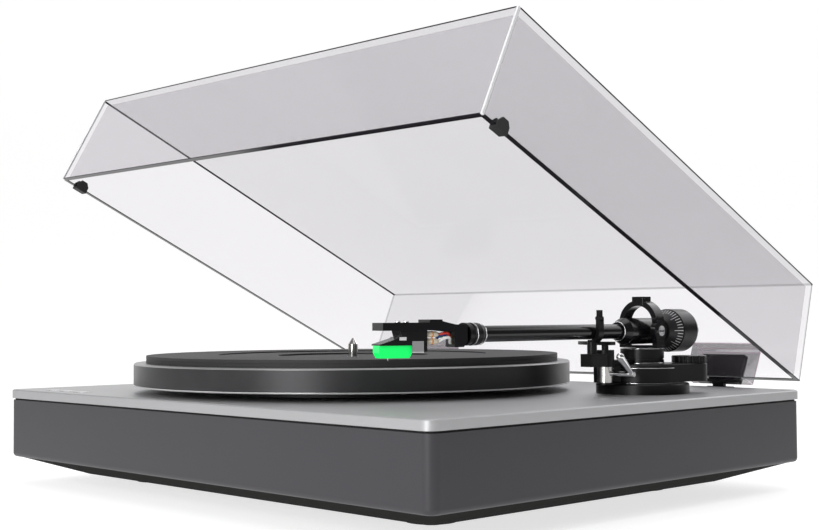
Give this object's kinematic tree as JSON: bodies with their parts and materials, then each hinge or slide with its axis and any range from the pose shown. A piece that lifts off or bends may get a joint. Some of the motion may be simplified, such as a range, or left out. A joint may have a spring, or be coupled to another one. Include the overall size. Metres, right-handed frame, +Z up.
{
  "type": "turntable",
  "caption": "Belt-driven record player: silver-topped plinth, black platter, straight tone arm with counterweight and lift, clear hinged lid propped open.",
  "frame": {"origin": "under the middle of the whole object (the lid overhangs at the back), level with the soles of the feet", "axes": "+X to the right, +Y to the back, where the lid hinges, +Z up; the arm is on the right"},
  "size_m": [0.435, 0.3804, 0.2847],
  "materials": {
    "casing_black": "fine satin paint over board",
    "gap_black": "matt",
    "plate_silver": "fine blasted satin",
    "pan_black": "fine moulded grain",
    "foot_rubber": "matt",
    "isolator_rubber": "matt",
    "motor_steel": "zinc plated",
    "shaft_steel": "ground",
    "pulley_metal": "turned",
    "belt_rubber": "ground flat",
    "bearing_brass": "turned",
    "bush_bronze": "sintered",
    "inner_platter_plastic": "moulded",
    "spindle_steel": "polished",
    "platter_black": "black satin anodised",
    "mat_rubber": "matt",
    "button_silver": "satin",
    "board_green": "solder resist",
    "panel_black": "moulded",
    "socket_gold": "plated",
    "post_nickel": "plated",
    "arm_black": "satin black",
    "arm_gloss": "gloss black",
    "lift_silver": "turned",
    "lever_chrome": "polished",
    "screw_chrome": "polished",
    "weight_black": "satin",
    "ring_grey": "satin with light marks",
    "collar_black": "black anodised",
    "shell_black": "black anodised",
    "cartridge_black": "moulded",
    "stylus_green": "moulded, bright green",
    "stylus_metal": "drawn tube",
    "lid_clear": "clear acrylic, faint tint",
    "blade_black": "moulded",
    "bumper_rubber": "matt"
  },
  "bodies": {
    "deck": {"plinth_casing": "casing_black", "gap_mat": "gap_black", "top_plate": "plate_silver", "bottom_pan": "pan_black", "rear_left_foot": "foot_rubber", "front_left_foot": "foot_rubber", "front_right_foot": "foot_rubber", "rear_right_foot": "foot_rubber", "motor_ring": "isolator_rubber", "motor": "motor_steel", "drive_belt": "belt_rubber", "bearing_housing": "bearing_brass", "bearing_bushes": "bush_bronze", "thrust_ball": "shaft_steel", "button_switches": "board_green", "circuit_board": "board_green", "rear_panel": "panel_black", "phono_sockets": "socket_gold", "earth_post": "post_nickel", "power_inlet": "panel_black", "arm_base_flange": "arm_black", "arm_nut": "post_nickel", "arm_tower": "arm_black", "arm_turret": "arm_black", "lift_cylinder": "lift_silver", "lift_housing": "arm_black", "arm_rest": "arm_black", "left_hinge_base": "blade_black", "right_hinge_base": "blade_black", "hinge_pins": "shaft_steel"},
    "rotor": {"motor_shaft": "shaft_steel", "motor_pulley": "pulley_metal"},
    "platter_set": {"inner_platter": "inner_platter_plastic", "spindle_shaft": "spindle_steel", "platter": "platter_black", "platter_mat": "mat_rubber"},
    "yoke": {"arm_yoke": "arm_gloss", "pivot_screws": "screw_chrome"},
    "tone_arm": {"arm_tube": "arm_gloss", "arm_housing": "arm_gloss", "rear_shaft": "arm_gloss", "headshell": "shell_black", "cartridge": "cartridge_black", "stylus_holder": "stylus_green", "stylus": "stylus_metal"},
    "weight_carrier": {"weight_bush": "arm_black"},
    "weight": {"counterweight": "weight_black"},
    "ring": {"scale_ring": "ring_grey"},
    "collar": {"locking_collar": "collar_black"},
    "lever": {"cue_lever": "lever_chrome"},
    "platform": {"lift_platform": "arm_black"},
    "clip": {"arm_clip": "arm_black"},
    "dial": {"skate_dial": "arm_black"},
    "lid_set": {"lid": "lid_clear", "lid_sockets": "lid_clear", "hinge_blades": "blade_black", "lid_bumpers": "bumper_rubber"},
    "power_key": {"power_button": "button_silver"},
    "low_speed_key": {"speed_button_low": "button_silver"},
    "high_speed_key": {"speed_button_high": "button_silver"}
  },
  "joints": [
    {"name": "platter_spin", "type": "hinge", "parent": "deck", "child": "platter_set", "pos_m": [-0.023, -0.0282, 0.08], "axis": [0, 0, 1], "continuous": true},
    {"name": "rotor_spin", "type": "hinge", "parent": "deck", "child": "rotor", "pos_m": [-0.11422, 0.06302, 0.07], "axis": [0, 0, 1], "continuous": true},
    {"name": "lid_hinge", "type": "hinge", "parent": "deck", "child": "lid_set", "pos_m": [0, 0.1707, 0.0613], "axis": [-1, 0, 0], "range_deg": [-25.64, 34.36]},
    {"name": "arm_swing", "type": "hinge", "parent": "deck", "child": "yoke", "pos_m": [0.158, 0.0654, 0.1067], "axis": [0, 0, -1], "range_deg": [0, 47]},
    {"name": "arm_tilt", "type": "hinge", "parent": "yoke", "child": "tone_arm", "pos_m": [0.158, 0.0654, 0.1067], "axis": [-1, 0, 0], "range_deg": [0, 2]},
    {"name": "weight_turn", "type": "hinge", "parent": "weight_carrier", "child": "weight", "pos_m": [0.158, 0.1018, 0.1067], "axis": [0, 1, 0], "range_deg": [0, 1080]},
    {"name": "weight_travel", "type": "slide", "parent": "tone_arm", "child": "weight_carrier", "axis": [0, 1, 0], "range_m": [0, 0.006]},
    {"name": "scale_ring_turn", "type": "hinge", "parent": "weight", "child": "ring", "pos_m": [0.158, 0.0888, 0.1067], "axis": [0, 1, 0], "continuous": true},
    {"name": "collar_turn", "type": "hinge", "parent": "tone_arm", "child": "collar", "pos_m": [0.158, -0.0972, 0.1067], "axis": [0, -1, 0], "range_deg": [0, 60]},
    {"name": "cue_turn", "type": "hinge", "parent": "deck", "child": "lever", "pos_m": [0.179, 0.0261, 0.08], "axis": [-1, 0, 0], "range_deg": [0, 50]},
    {"name": "lift_rise", "type": "slide", "parent": "deck", "child": "platform", "axis": [0, 0, 1], "range_m": [0, 0.0013]},
    {"name": "clip_turn", "type": "hinge", "parent": "deck", "child": "clip", "pos_m": [0.1642, 0.0129, 0.1152], "axis": [0, -1, 0], "range_deg": [0, 90]},
    {"name": "dial_turn", "type": "hinge", "parent": "deck", "child": "dial", "pos_m": [0.177, 0.0914, 0.088], "axis": [0, 0, 1], "range_deg": [0, 270]},
    {"name": "power_press", "type": "slide", "parent": "deck", "child": "power_key", "axis": [0, 0, -1], "range_m": [0, 0.0012], "stiffness_N_per_m": 300},
    {"name": "low_speed_press", "type": "slide", "parent": "deck", "child": "low_speed_key", "axis": [0, 0, -1], "range_m": [0, 0.0012], "stiffness_N_per_m": 300},
    {"name": "high_speed_press", "type": "slide", "parent": "deck", "child": "high_speed_key", "axis": [0, 0, -1], "range_m": [0, 0.0012], "stiffness_N_per_m": 300}
  ],
  "couplings": [
    {"joint": "rotor_spin", "follows": "platter_spin", "ratio": 17},
    {"joint": "weight_travel", "follows": "weight_turn", "m_per_rad": 0.000318},
    {"joint": "lift_rise", "follows": "cue_turn", "m_per_rad": 0.00148}
  ]
}
